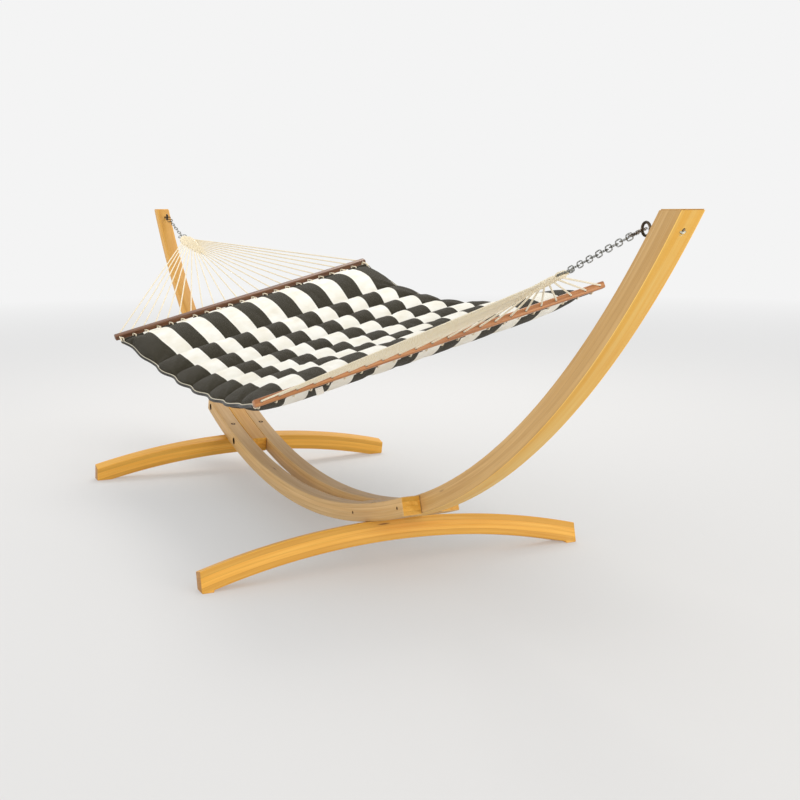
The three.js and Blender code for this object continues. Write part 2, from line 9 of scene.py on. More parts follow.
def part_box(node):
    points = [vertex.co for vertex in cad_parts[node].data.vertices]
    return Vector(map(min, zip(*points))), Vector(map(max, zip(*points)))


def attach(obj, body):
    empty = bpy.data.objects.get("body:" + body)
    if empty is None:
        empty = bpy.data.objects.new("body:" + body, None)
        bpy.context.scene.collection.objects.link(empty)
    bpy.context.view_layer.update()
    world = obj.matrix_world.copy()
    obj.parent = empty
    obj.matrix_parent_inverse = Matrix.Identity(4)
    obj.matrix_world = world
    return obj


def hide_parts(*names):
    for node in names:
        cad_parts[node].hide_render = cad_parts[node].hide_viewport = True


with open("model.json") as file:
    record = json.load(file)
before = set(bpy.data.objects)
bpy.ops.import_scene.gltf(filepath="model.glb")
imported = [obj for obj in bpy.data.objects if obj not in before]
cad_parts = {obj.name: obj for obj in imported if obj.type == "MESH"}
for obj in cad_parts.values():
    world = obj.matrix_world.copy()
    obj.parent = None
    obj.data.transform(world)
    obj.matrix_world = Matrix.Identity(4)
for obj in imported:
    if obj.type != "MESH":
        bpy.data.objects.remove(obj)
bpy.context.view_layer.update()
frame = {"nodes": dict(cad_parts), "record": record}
scene = bpy.context.scene
swing = frame["record"]["behaviour"]["joints"][0]
print("frame loaded:", len(frame["nodes"]), "nodes")


def linear(hexColour):
    channels = [int(hexColour[i:i + 2], 16) / 255 for i in (1, 3, 5)]
    return (*[c / 12.92 if c <= 0.04045 else ((c + 0.055) / 1.055) ** 2.4 for c in channels], 1)


def addNode(tree, kind, settings=None, inputs=None):
    # an input takes a plain value, or another node's output to link from
    node = tree.nodes.new("ShaderNode" + kind)
    for name, value in (settings or {}).items():
        setattr(node, name, value)
    for name, value in (inputs or {}).items():
        if isinstance(value, bpy.types.NodeSocket):
            tree.links.new(value, node.inputs[name])
        else:
            node.inputs[name].default_value = value
    return node


def newMaterial(name):
    material = bpy.data.materials.new(name)
    material.use_nodes = True
    tree = material.node_tree
    tree.nodes.clear()
    return material, tree


def finishMaterial(tree, shader):
    addNode(tree, "OutputMaterial", inputs={"Surface": shader.outputs[0]})


def mathOf(tree, operation, a, b=0.0):
    return addNode(tree, "Math", {"operation": operation}, {0: a, 1: b}).outputs[0]


def blendColours(tree, factor, a, b, mode="MIX"):
    settings = {"data_type": "RGBA", "blend_type": mode}
    return addNode(tree, "Mix", settings, {0: factor, 6: a, 7: b}).outputs[2]


def spread(tree, value, low, high, toLow=0.0, toHigh=1.0):
    inputs = {"Value": value, "From Min": low, "From Max": high, "To Min": toLow, "To Max": toHigh}
    return addNode(tree, "MapRange", inputs=inputs).outputs[0]


def placeNode(tree):
    # each piece's own coordinates in metres, stored on its points
    return addNode(tree, "Attribute", {"attribute_name": "place"})


def stretched(tree, vector, scale):
    return addNode(tree, "VectorMath", {"operation": "MULTIPLY"}, {0: vector, 1: scale}).outputs[0]


def newPiece(name, verts, faces, materials, body, places=None, smooth=True):
    mesh = bpy.data.meshes.new(name)
    mesh.from_pydata([tuple(v) for v in verts], [], faces)
    mesh.update()
    piece = bpy.data.objects.new(name, mesh)
    scene.collection.objects.link(piece)
    for material in materials:
        mesh.materials.append(material)
    if places is not None:
        setPlaces(mesh, places)
    mesh.shade_smooth() if smooth else mesh.shade_flat()
    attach(piece, body)
    return piece


def setPlaces(mesh, places):
    attribute = mesh.attributes.get("place") or mesh.attributes.new("place", "FLOAT_VECTOR", "POINT")
    attribute.data.foreach_set("vector", np.array([tuple(p) for p in places], np.float32).ravel())


def joined(parts):
    # several (verts, faces, places) into one
    verts, faces, places = [], [], []
    for partVerts, partFaces, partPlaces in parts:
        start = len(verts)
        verts += partVerts
        faces += [[start + i for i in face] for face in partFaces]
        places += partPlaces
    return verts, faces, places


def tube(points, radius, sides=10, closed=False, tag=0.0):
    points = [Vector(p) for p in points]
    count = len(points)
    radii = radius if isinstance(radius, (list, tuple)) else [radius] * count
    side = None
    along = 0.0
    verts, faces, places = [], [], []
    for i, point in enumerate(points):
        before = points[i - 1] if i or closed else point
        after = points[(i + 1) % count] if i < count - 1 or closed else point
        tangent = (after - before).normalized()
        side = tangent.orthogonal() if side is None else side - tangent * side.dot(tangent)
        side.normalize()
        up = tangent.cross(side)
        along += (point - points[i - 1]).length if i else 0
        for k in range(sides):
            angle = 2 * math.pi * k / sides
            verts.append(point + (side * math.cos(angle) + up * math.sin(angle)) * radii[i])
            places.append((along + tag, math.cos(angle), math.sin(angle)))
    for i in range(count if closed else count - 1):
        a, b = i * sides, ((i + 1) % count) * sides
        faces += [[a + k, a + (k + 1) % sides, b + (k + 1) % sides, b + k] for k in range(sides)]
    if not closed:
        faces += [list(range(sides))[::-1], list(range((count - 1) * sides, count * sides))]
    return verts, faces, places


def smoothPath(points, steps):
    # a Catmull-Rom curve through the points
    points = [Vector(p) for p in points]
    padded = [points[0] * 2 - points[1], *points, points[-1] * 2 - points[-2]]
    path = []
    for i in range(1, len(padded) - 2):
        p0, p1, p2, p3 = padded[i - 1:i + 3]
        for k in range(steps):
            t = k / steps
            path.append(0.5 * (2 * p1 + (p2 - p0) * t + (2 * p0 - 5 * p1 + 4 * p2 - p3) * t ** 2
                               + (3 * p1 - p0 - 3 * p2 + p3) * t ** 3))
    return path + [points[-1]]


def middleOf(node):
    low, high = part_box(node)
    return (Vector(low) + Vector(high)) / 2


cameraSet = {"place": (4.53723, -1.64295, 1.22027), "forward": (-0.89915, 0.40746, -0.15972),
             "up": (-0.14287, 0.07168, 0.98714), "lens": 54, "sensor": 36, "reach": 200}
stageSet = {"floor": "#d8d8d8", "glow": "#e9e9e9", "far": "#f4f4f4", "floorHalf": 60,
            "fadeFrom": 3.0, "fadeTo": 12.0, "nearGlow": 0.33, "aimHeight": 0.4}
lampSet = {
    "key": {"place": (-3.0, 1.6, 4.8), "size": 3.0, "power": 120, "colour": "#fffaf2"},
    "fill": {"place": (6.5, 3.0, 1.6), "size": 3.0, "power": 120, "colour": "#fff6e6"},
    "front": {"place": (2.0, -6.5, 2.0), "size": 4.0, "power": 70, "colour": "#fffaf4"},
}


def makeStage():
    data = bpy.data.cameras.new("camera")
    camera = bpy.data.objects.new("camera", data)
    scene.collection.objects.link(camera)
    back = -Vector(cameraSet["forward"]).normalized()
    right = Vector(cameraSet["up"]).cross(back).normalized()
    up = back.cross(right)
    turn = Matrix((right, up, back)).transposed().to_4x4()
    camera.matrix_world = Matrix.Translation(cameraSet["place"]) @ turn
    data.sensor_width = cameraSet["sensor"]
    data.lens = cameraSet["lens"]
    data.clip_end = cameraSet["reach"]
    scene.camera = camera
    half = stageSet["floorHalf"]
    mesh = bpy.data.meshes.new("floor")
    corners = [(-half, -half, 0), (half, -half, 0), (half, half, 0), (-half, half, 0)]
    mesh.from_pydata(corners, [], [[0, 1, 2, 3]])
    floor = bpy.data.objects.new("floor", mesh)
    scene.collection.objects.link(floor)
    material, tree = newMaterial("matte studio floor")
    paint = {"Base Color": linear(stageSet["floor"]), "Roughness": 0.9, "Specular IOR Level": 0.1}
    matte = addNode(tree, "BsdfPrincipled", inputs=paint).outputs[0]
    # far out the floor turns into the backdrop's own light, so that no horizon shows
    distance = addNode(tree, "VectorMath", {"operation": "LENGTH"},
                       {0: addNode(tree, "TexCoord").outputs["Object"]}).outputs["Value"]
    outward = spread(tree, distance, stageSet["fadeFrom"], stageSet["fadeTo"])
    tone = blendColours(tree, outward, linear(stageSet["glow"]), linear(stageSet["far"]))
    glow = addNode(tree, "Emission", inputs={"Color": tone, "Strength": 1.0}).outputs[0]
    fade = spread(tree, outward, 0.0, 1.0, stageSet["nearGlow"], 1.0)
    finishMaterial(tree, addNode(tree, "MixShader", inputs={0: fade, 1: matte, 2: glow}))
    mesh.materials.append(material)
    world = bpy.data.worlds.new("soft studio")
    world.use_nodes = True
    background = world.node_tree.nodes["Background"]
    background.inputs["Color"].default_value = linear(stageSet["far"])
    background.inputs["Strength"].default_value = 1.0
    scene.world = world
    aim = Vector((0, 0, stageSet["aimHeight"]))
    for name, lamp in lampSet.items():
        light = bpy.data.lights.new(name, "AREA")
        light.shape = "DISK"
        light.size = lamp["size"]
        light.energy = lamp["power"]
        light.color = linear(lamp["colour"])[:3]
        holder = bpy.data.objects.new(name, light)
        turn = (aim - Vector(lamp["place"])).to_track_quat("-Z", "Y").to_matrix().to_4x4()
        holder.matrix_world = Matrix.Translation(lamp["place"]) @ turn
        scene.collection.objects.link(holder)
    scene.view_settings.view_transform = "Standard"
    print("camera, floor and light")


makeStage()


def laminateWood(name, base, dark, light, seed, board=0.016):
    # Softwood boards glued face to face, bent and planed, then oiled: long soft streaks along
    # each board, a thin glue line between boards, and a few knots.
    material, tree = newMaterial(name)
    place = placeNode(tree)
    split = addNode(tree, "SeparateXYZ", inputs={"Vector": place.outputs["Vector"]}).outputs
    layer = mathOf(tree, "FLOOR", mathOf(tree, "DIVIDE", split[2], board))
    layerTone = addNode(tree, "TexWhiteNoise", {"noise_dimensions": "1D"},
                        {"W": mathOf(tree, "ADD", layer, seed)}).outputs["Value"]
    # streaks: 0.5 m long, 6 to 12 mm wide
    shift = {"X": mathOf(tree, "MULTIPLY", layerTone, 9.0), "Y": seed,
             "Z": mathOf(tree, "MULTIPLY", layer, 0.31)}
    shifted = addNode(tree, "CombineXYZ", inputs=shift).outputs[0]
    moved = addNode(tree, "VectorMath", {"operation": "ADD"},
                    {0: place.outputs["Vector"], 1: shifted}).outputs[0]
    streak = addNode(tree, "TexNoise", inputs={"Vector": stretched(tree, moved, (2.2, 70.0, 95.0)),
                                               "Scale": 1.0, "Detail": 3.0, "Distortion": 0.3}).outputs[0]
    # growth lines about 3 mm apart
    fine = addNode(tree, "TexNoise", inputs={"Vector": stretched(tree, moved, (5.0, 330.0, 380.0)),
                                             "Scale": 1.0, "Detail": 2.0}).outputs[0]
    cloud = addNode(tree, "TexNoise", inputs={"Vector": stretched(tree, moved, (3.5, 9.0, 9.0)),
                                              "Scale": 1.0, "Detail": 2.0}).outputs[0]
    colour = blendColours(tree, spread(tree, streak, 0.33, 0.68), linear(dark), linear(light))
    colour = blendColours(tree, 0.5, colour, linear(base))
    colour = blendColours(tree, spread(tree, cloud, 0.35, 0.7, 0.0, 0.55), colour, linear(base))
    colour = blendColours(tree, spread(tree, fine, 0.52, 0.75, 0.0, 0.30), colour, linear(dark))
    toned = spread(tree, layerTone, 0.0, 1.0, 0.86, 1.08)
    grey = addNode(tree, "CombineColor", inputs={0: toned, 1: toned, 2: toned}).outputs[0]
    colour = blendColours(tree, 1.0, colour, grey, "MULTIPLY")
    # glue lines: real ones are 0.2 mm, drawn 0.9 mm so that they show
    inBoard = mathOf(tree, "FRACT", mathOf(tree, "DIVIDE", split[2], board))
    fromLine = mathOf(tree, "MINIMUM", inBoard, mathOf(tree, "SUBTRACT", 1.0, inBoard))
    glue = spread(tree, fromLine, 0.028, 0.010, 0.0, 0.42)
    colour = blendColours(tree, glue, colour, linear("#7a5022"))
    # knots: one every metre or so, 10 mm across
    cells = {"Vector": stretched(tree, moved, (1.9, 13.0, 13.0)), "Scale": 1.0, "Randomness": 1.0}
    knot = addNode(tree, "TexVoronoi", inputs=cells).outputs["Distance"]
    colour = blendColours(tree, spread(tree, knot, 0.055, 0.02, 0.0, 0.8), colour, linear("#6b4018"))
    rough = spread(tree, fine, 0.3, 0.7, 0.42, 0.56)
    groove = mathOf(tree, "MULTIPLY", glue, 1.2)
    height = mathOf(tree, "SUBTRACT", mathOf(tree, "MULTIPLY", fine, 0.5), groove)
    bump = addNode(tree, "Bump", inputs={"Strength": 0.35, "Distance": 0.0006, "Height": height}).outputs[0]
    shader = addNode(tree, "BsdfPrincipled", inputs={"Base Color": colour, "Roughness": rough, "IOR": 1.5,
                                                     "Specular IOR Level": 0.35, "Normal": bump})
    finishMaterial(tree, shader)
    return material


footWood = laminateWood("oiled laminated larch of the feet", "#e6a93f", "#c9852a", "#f3c463", 3.0)
beamWood = laminateWood("oiled laminated larch of the beams", "#d6ae72", "#bb8d4a", "#e6c590", 11.0)
armWood = laminateWood("oiled laminated larch of the arms", "#d2a869", "#b48544", "#e2bd84", 23.0)
# painted light: a lighter, yellower copy of the arm wood for the arms' outer faces and cut tops, where the
# light falls on them
outerFacePaintedLightWood = laminateWood("oiled larch of the arms' outer board", "#ffca5a", "#f0ab38", "#ffe398", 31.0)
endGrain = laminateWood("larch end grain", "#b98239", "#8e5c22", "#cf9b4e", 47.0)

# painted shade: the walls and floors of the bores are coloured dark for the shadow that falls into them
boreShadeWood = laminateWood("end grain darkened with painted shade inside the bores", "#4a3218", "#2e1d0c", "#5c4020", 53.0)


def paintShadeInBores(piece, bores, slotIndex):
    # gives the walls and floors of drilled recesses the slot of painted shade, by (point, axis, radius, skin
    # test)
    for polygon in piece.data.polygons:
        for point, axis, radius, isSkin in bores:
            away = polygon.center - point
            fromAxis = (away - axis * away.dot(axis)).length
            if fromAxis < radius * 1.02 and polygon.area < 0.002 and not isSkin(polygon):
                polygon.material_index = slotIndex


beamSet = {"railRadius": 3.520, "depth": 0.0635, "width": 0.067, "gap": 0.0004, "armRadius": 2.778,
           "railHalf": 1.145, "armStart": 0.655, "height": 1.210, "ease": 0.0045, "endEase": 0.0025,
           "pitch": 0.018}
footSet = {"place": 0.892, "half": 0.702, "width": 0.058, "depth": 0.073, "arch": 0.086, "pad": 0.042,
           "seat": 0.002, "stations": 72, "tipFrom": 0.69}
boltSet = {"places": (0.725, 1.105), "bore": 0.0054, "recess": 0.0155, "recessDepth": 0.015,
           "footBore": 0.0044, "footRecess": 0.0105, "footRecessDepth": 0.006, "footBite": 0.040,
           "eyeRecess": 0.0175,
           "eyeRecessDepth": 0.012, "eyeBore": 0.0039}
halfDepth = beamSet["depth"] / 2
overFoot = beamSet["railRadius"] + halfDepth + footSet["arch"] + footSet["depth"] - footSet["seat"]
lean = math.asin(footSet["place"] / overFoot)
railCentre = Vector((0, 0, overFoot * math.cos(lean)))
inFromRail = beamSet["railRadius"] - beamSet["armRadius"]
armCentre = railCentre + inFromRail * Vector((math.sin(lean), 0, -math.cos(lean)))
railMiddle = beamSet["width"] + beamSet["gap"]
stackHalf = railMiddle + beamSet["width"] / 2
eyeHeight = swing["pos_m"][2]


def onArc(centre, radius, angle):
    return centre + radius * Vector((math.sin(angle), 0, -math.cos(angle)))


def section(inner, outer, acrossAxis, width, ease, inset=0.0):
    # a rectangle with rounded corners, from the inner face to the outer one
    depthAxis = (outer - inner).normalized()
    depth = (outer - inner).length
    ring = []
    for cornerA, cornerB, first in ((0, -1, 180), (1, -1, 270), (1, 1, 0), (0, 1, 90)):
        for k in range(4):
            angle = math.radians(first + 30 * k)
            a = (ease if cornerA == 0 else depth - ease) + (ease - inset) * math.cos(angle)
            b = cornerB * (width / 2 - ease) + (ease - inset) * math.sin(angle)
            ring.append(inner + depthAxis * a + acrossAxis * b)
    return ring


def beamMesh(stations, acrossAxis, width, ease):
    # stations are (inner point, outer point, inset)
    verts, faces = [], []
    for inner, outer, inset in stations:
        verts += section(inner, outer, acrossAxis, width, ease, inset)
    sides = 16
    for i in range(len(stations) - 1):
        a = i * sides
        b = a + sides
        faces += [[a + k, a + (k + 1) % sides, b + (k + 1) % sides, b + k] for k in range(sides)]
    faces += [list(range(sides))[::-1], list(range(len(verts) - sides, len(verts)))]
    return verts, faces


def cutPlane(mesh, point, normal, ease=0.0):
    work = bmesh.new()
    work.from_mesh(mesh)
    geometry = work.verts[:] + work.edges[:] + work.faces[:]
    bmesh.ops.bisect_plane(work, geom=geometry, plane_co=point, plane_no=normal, clear_outer=True)
    rim = [edge for edge in work.edges if edge.is_boundary]
    bmesh.ops.holes_fill(work, edges=rim)
    if ease:
        bmesh.ops.bevel(work, geom=[e for e in rim if e.is_valid], offset=ease, segments=2, affect="EDGES")
    bmesh.ops.recalc_face_normals(work, faces=work.faces)
    work.to_mesh(mesh)
    work.free()


def rod(start, axis, length, radius, sides=28):
    axis = Vector(axis).normalized()
    return tube([Vector(start), Vector(start) + axis * length], radius, sides)


def carve(piece, cutters):
    # takes the cutters out of the piece; where rods overlap in one cutter mesh some recesses stay closed
    verts, faces, _ = joined(cutters)
    mesh = bpy.data.meshes.new("cutter")
    mesh.from_pydata([tuple(v) for v in verts], [], faces)
    work = bmesh.new()
    work.from_mesh(mesh)
    bmesh.ops.recalc_face_normals(work, faces=work.faces)
    work.to_mesh(mesh)
    work.free()
    cutter = bpy.data.objects.new("cutter", mesh)
    scene.collection.objects.link(cutter)
    modifier = piece.modifiers.new("carve", "BOOLEAN")
    modifier.operation = "DIFFERENCE"
    modifier.solver = "EXACT"
    modifier.object = cutter
    evaluated = piece.evaluated_get(bpy.context.evaluated_depsgraph_get())
    carved = bpy.data.meshes.new_from_object(evaluated)
    piece.modifiers.clear()
    piece.data = carved
    bpy.data.objects.remove(cutter)


def flatThenSmooth(piece, degrees=32):
    piece.data.shade_smooth()
    piece.data.set_sharp_from_angle(angle=math.radians(degrees))


def railPlace(point):
    away = point - railCentre
    angle = math.atan2(away.x, -away.z)
    outward = Vector((away.x, 0, away.z)).length - beamSet["railRadius"]
    return (angle * beamSet["railRadius"], point.y, outward)


def armPlace(point, side):
    point = Vector((point.x * side, point.y, point.z))
    if math.atan2(point.x, railCentre.z - point.z) < lean:
        return railPlace(point)
    away = point - armCentre
    angle = math.atan2(away.x, -away.z)
    along = lean * beamSet["railRadius"] + (angle - lean) * beamSet["armRadius"]
    return (along, point.y, Vector((away.x, 0, away.z)).length - beamSet["armRadius"])


def stationsOn(centre, radius, first, last, easeFirst, easeLast):
    ease = beamSet["endEase"]
    count = max(int(abs(last - first) * radius / beamSet["pitch"]), 2)
    angles = [(first + (last - first) * i / count, 0.0) for i in range(count + 1)]
    turn = math.copysign(ease / radius, last - first)
    if easeFirst:
        angles[0] = (first + turn, 0.0)
        angles.insert(0, (first, ease))
    if easeLast:
        angles[-1] = (last - turn, 0.0)
        angles.append((last, ease))
    return [(onArc(centre, radius - halfDepth, a), onArc(centre, radius + halfDepth, a), inset)
            for a, inset in angles]


def lapPoint(x):
    return onArc(railCentre, beamSet["railRadius"], math.asin(x / beamSet["railRadius"]))


def footBoltCutters(side, extra):
    cutters = []
    aside = Vector((0, side * railMiddle, 0))
    for end in (1, -1):
        top = onArc(railCentre, beamSet["railRadius"] - halfDepth, end * lean) + aside
        axis = (top - railCentre - aside).normalized()
        recessReach = boltSet["footRecessDepth"] + extra
        boreReach = beamSet["depth"] + boltSet["footBite"] + extra
        cutters.append(rod(top - axis * extra, axis, recessReach, boltSet["footRecess"]))
        cutters.append(rod(top, axis, boreReach, boltSet["footBore"], 16))
    return cutters


def makeRails():
    ends = math.asin(beamSet["railHalf"] / beamSet["railRadius"])
    for side, name in ((-1, "rail_front"), (1, "rail_back")):
        stations = stationsOn(railCentre, beamSet["railRadius"], -ends, ends, True, True)
        verts, faces = beamMesh(stations, Vector((0, 1, 0)), beamSet["width"], beamSet["ease"])
        verts = [v + Vector((0, side * railMiddle, 0)) for v in verts]
        piece = newPiece(name + "_beam", verts, faces, [beamWood, footWood, boreShadeWood], "stand")
        cutters = footBoltCutters(side, 0.002)
        bores = []
        for x in boltSet["places"]:
            for end in (1, -1):
                spot = lapPoint(end * x)
                spot.y = side * (stackHalf + 0.002)
                cutters.append(rod(spot, (0, -side, 0), boltSet["recessDepth"] + 0.002, boltSet["recess"]))
                cutters.append(rod(spot, (0, -side, 0), beamSet["width"] + 0.01, boltSet["bore"], 16))
                bores.append((spot, Vector((0, 1, 0)), boltSet["recess"],
                              lambda polygon: abs(polygon.center.y) > stackHalf - 0.0005))
        for end in (1, -1):
            top = onArc(railCentre, beamSet["railRadius"] - halfDepth, end * lean)
            top = top + Vector((0, side * railMiddle, 0))
            axis = Vector((math.sin(end * lean), 0, -math.cos(lean)))
            bores.append((top, axis, boltSet["footRecess"],
                          lambda polygon, top=top, axis=axis: (polygon.center - top).dot(axis) < 0.0005))
        carve(piece, cutters)
        setPlaces(piece.data, [railPlace(v.co) for v in piece.data.vertices])
        for polygon in piece.data.polygons:
            away = polygon.center - railCentre
            tangent = Vector((-away.z, 0, away.x)).normalized()
            polygon.material_index = 1 if abs(polygon.normal.dot(tangent)) > 0.8 else 0
        paintShadeInBores(piece, bores, 2)
        flatThenSmooth(piece)
        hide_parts(name)


def makeArms():
    lap = math.asin(beamSet["armStart"] / beamSet["railRadius"])
    tip = math.acos((armCentre.z - beamSet["height"]) / (beamSet["armRadius"] + halfDepth)) + 0.03
    for side, end in ((1, "right"), (-1, "left")):
        stations = stationsOn(railCentre, beamSet["railRadius"], lap, lean, True, False)[:-1]
        stations += stationsOn(armCentre, beamSet["armRadius"], lean, tip, False, False)
        verts, faces = beamMesh(stations, Vector((0, 1, 0)), beamSet["width"], beamSet["ease"])
        verts = [Vector((side * v.x, v.y, v.z)) for v in verts]
        sideWood = armWood if end == "right" else footWood
        piece = newPiece("arm_" + end + "_beam", verts, faces,
                         [sideWood, outerFacePaintedLightWood, boreShadeWood], "stand")
        cutPlane(piece.data, (0, 0, beamSet["height"]), (0, 0, 1), 0.003)
        outerRadius = beamSet["armRadius"] + halfDepth
        outerX = armCentre.x + math.sqrt(outerRadius ** 2 - (armCentre.z - eyeHeight) ** 2)
        start = Vector((side * (outerX - boltSet["eyeRecessDepth"]), 0, eyeHeight))
        cutters = [rod(start, (side, 0, 0), 0.1, boltSet["eyeRecess"]),
                   rod(start - Vector((side * 0.2, 0, 0)), (side, 0, 0), 0.25, boltSet["eyeBore"], 16)]
        for x in boltSet["places"]:
            spot = lapPoint(x)
            cutters.append(rod((side * spot.x, -0.05, spot.z), (0, 1, 0), 0.1, boltSet["bore"], 16))
        carve(piece, cutters)
        setPlaces(piece.data, [armPlace(v.co, side) for v in piece.data.vertices])
        for polygon in piece.data.polygons:
            away = polygon.center - Vector((side * armCentre.x, 0, armCentre.z))
            outward = Vector((away.x, 0, away.z)).normalized()
            facing = polygon.normal.dot(outward)
            # painted light: faces turned outwards, and the cut top, take the lighter wood in slot 1
            if facing > 0.93 and polygon.center.z < beamSet["height"] - 0.002:
                polygon.material_index = 1
            elif polygon.normal.z > 0.95 and polygon.center.z > beamSet["height"] - 0.001:
                polygon.material_index = 1
        face = start + Vector((side * boltSet["eyeRecessDepth"], 0, 0))
        eyeBore = (face, Vector((1, 0, 0)), boltSet["eyeRecess"],
                   lambda polygon: abs(polygon.normal.x) > 0.5 and abs(polygon.center.x - start.x) > 0.001)
        paintShadeInBores(piece, [eyeBore], 2)
        flatThenSmooth(piece)
        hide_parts("arm_" + end)


def makeFeet():
    span = footSet["half"] - footSet["pad"]
    radius = (span ** 2 + footSet["arch"] ** 2) / (2 * footSet["arch"])
    middle = footSet["arch"] - radius
    outerRadius = radius + footSet["depth"]
    under, over = math.asin(span / radius), math.asin(footSet["half"] / outerRadius)
    buried = -footSet["width"] / 2
    count = footSet["stations"]
    stations = [(Vector((0, -span, buried)), Vector((0, -footSet["half"], buried)), 0.0)]
    for i in range(count + 1):
        t = 2 * i / count - 1
        inner = Vector((0, radius * math.sin(t * under), middle + radius * math.cos(t * under)))
        outer = Vector((0, outerRadius * math.sin(t * over), middle + outerRadius * math.cos(t * over)))
        stations.append((inner, outer, 0.0))
    stations.append((Vector((0, span, buried)), Vector((0, footSet["half"], buried)), 0.0))
    for side, end in ((1, "right"), (-1, "left")):
        turn = Matrix.Translation((side * footSet["place"], 0, 0)) @ Matrix.Rotation(-side * lean, 4, "Y")
        back = turn.inverted()
        verts, faces = beamMesh(stations, Vector((1, 0, 0)), footSet["width"], beamSet["ease"])
        verts = [turn @ v for v in verts]
        piece = newPiece("foot_" + end + "_arch", verts, faces, [footWood, endGrain], "stand")
        cutPlane(piece.data, (0, 0, 0), (0, 0, -1), 0.002)
        reach = footSet["width"] / beamSet["railRadius"]
        above, below = beamSet["railRadius"] - halfDepth, beamSet["railRadius"] + halfDepth + beamSet["gap"]
        angles = [side * (lean + reach * k) for k in (-1, -0.5, 0, 0.5, 1)]
        seat = [(onArc(railCentre, above, angle), onArc(railCentre, below, angle), 0.0) for angle in angles]
        seatVerts, seatFaces = beamMesh(seat, Vector((0, 1, 0)), 2 * (stackHalf + beamSet["gap"]), 0.0003)
        carve(piece, [(seatVerts, seatFaces, [(0, 0, 0)] * len(seatVerts))])
        places = []
        for vertex in piece.data.vertices:
            local = back @ vertex.co
            angle = math.atan2(local.y, local.z - middle)
            away = math.hypot(local.y, local.z - middle) - radius - footSet["depth"] / 2
            places.append((angle * radius + 7 * side, local.x, away))
        setPlaces(piece.data, places)
        for polygon in piece.data.polygons:
            atTip = abs(polygon.normal.y) > 0.9 and abs(polygon.center.y) > footSet["tipFrom"]
            polygon.material_index = 1 if atTip else 0
        flatThenSmooth(piece)
        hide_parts("foot_" + end)


makeRails()
makeArms()
makeFeet()
print("stand beams")


roll = -math.radians(sum(swing["range_deg"]) / 2)
hung = Matrix.Translation((0, 0, eyeHeight)) @ Matrix.Rotation(roll, 4, "X")
unhung = hung.inverted()


def endFrame(end):
    # from the bar's middle, with X towards the ring
    bar, ring = unhung @ middleOf("bar_" + end), unhung @ middleOf("ring_" + end)
    away = ring - bar
    length = math.hypot(away.x, away.z)
    xAxis = Vector((away.x, 0, away.z)) / length
    yAxis = Vector((0, math.copysign(1, away.x), 0))
    turn = Matrix((xAxis, yAxis, xAxis.cross(yAxis))).transposed().to_4x4()
    return hung @ Matrix.Translation(bar) @ turn, length, away.y * yAxis.y


barSet = {"length": 1.300, "depth": 0.032, "height": 0.024, "ease": 0.006, "holes": 22, "pitch": 0.0598,
          "holeRadius": 0.0046}


def stainedWood(name, base, dark, light, seed):
    # Close-grained hardwood under a clear stain: short dark pores in long soft streaks, with a
    # satin film that catches the light along the rounded edges.
    material, tree = newMaterial(name)
    place = placeNode(tree)
    moved = addNode(tree, "VectorMath", {"operation": "ADD"},
                    {0: place.outputs["Vector"], 1: (seed, seed, 0)}).outputs[0]
    streak = addNode(tree, "TexNoise", inputs={"Vector": stretched(tree, moved, (160.0, 4.0, 160.0)),
                                               "Scale": 1.0, "Detail": 3.0}).outputs[0]
    pores = addNode(tree, "TexNoise", inputs={"Vector": stretched(tree, moved, (900.0, 45.0, 900.0)),
                                              "Scale": 1.0, "Detail": 1.0}).outputs[0]
    colour = blendColours(tree, spread(tree, streak, 0.35, 0.65), linear(dark), linear(light))
    colour = blendColours(tree, 0.45, colour, linear(base))
    colour = blendColours(tree, spread(tree, pores, 0.6, 0.75, 0.0, 0.5), colour, linear(dark))
    bump = addNode(tree, "Bump", inputs={"Strength": 0.3, "Distance": 0.0004, "Height": streak}).outputs[0]
    film = {"Base Color": colour, "Roughness": spread(tree, pores, 0.3, 0.7, 0.36, 0.5), "IOR": 1.5,
            "Specular IOR Level": 0.45, "Coat Weight": 0.15, "Coat Roughness": 0.3, "Normal": bump}
    shader = addNode(tree, "BsdfPrincipled", inputs=film)
    finishMaterial(tree, shader)
    return material


# painted shade: the left bar is the same wood as the right one, coloured darker for the shade it hangs in
barWoods = {"right": stainedWood("amber stained hardwood", "#b0713f", "#7c4520", "#c88d58", 2.0),
            "left": stainedWood("stained hardwood darkened with painted shade", "#6f462a", "#4a2b15", "#865a38", 5.0)}


def holePlaces():
    return [(i - (barSet["holes"] - 1) / 2) * barSet["pitch"] for i in range(barSet["holes"])]


def makeBar(end):
    turn = endFrame(end)[0]
    half = barSet["length"] / 2
    reach = [(-half, 0.0035), (-half + 0.0012, 0.0014), (-half + 0.0035, 0.0)]
    reach += [(y * half / 24, 0.0) for y in range(-23, 24)]
    reach += [(half - 0.0035, 0.0), (half - 0.0012, 0.0014), (half, 0.0035)]
    inner, outer = -barSet["depth"] / 2, barSet["depth"] / 2
    stations = [(Vector((inner, y, 0)), Vector((outer, y, 0)), inset) for y, inset in reach]
    verts, faces = beamMesh(stations, Vector((0, 0, 1)), barSet["height"], barSet["ease"])
    piece = newPiece("bar_" + end + "_turned", verts, faces, [barWoods[end]], "hammock")
    work = bmesh.new()
    work.from_mesh(piece.data)
    bmesh.ops.recalc_face_normals(work, faces=work.faces)
    work.to_mesh(piece.data)
    work.free()
    carve(piece, [rod((-0.03, y, 0), (1, 0, 0), 0.06, barSet["holeRadius"], 16) for y in holePlaces()])
    setPlaces(piece.data, [v.co.copy() for v in piece.data.vertices])
    piece.data.transform(turn)
    flatThenSmooth(piece, 40)
    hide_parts("bar_" + end)


ropeSet = {"radius": 0.003, "clew": 0.330, "neck": 0.026, "swell": 0.042, "widest": 0.31, "ring": 0.022,
           "wire": 0.006, "weftPitch": 0.017, "lay": 0.018, "hemPlace": -0.061, "hemRadius": 0.011}


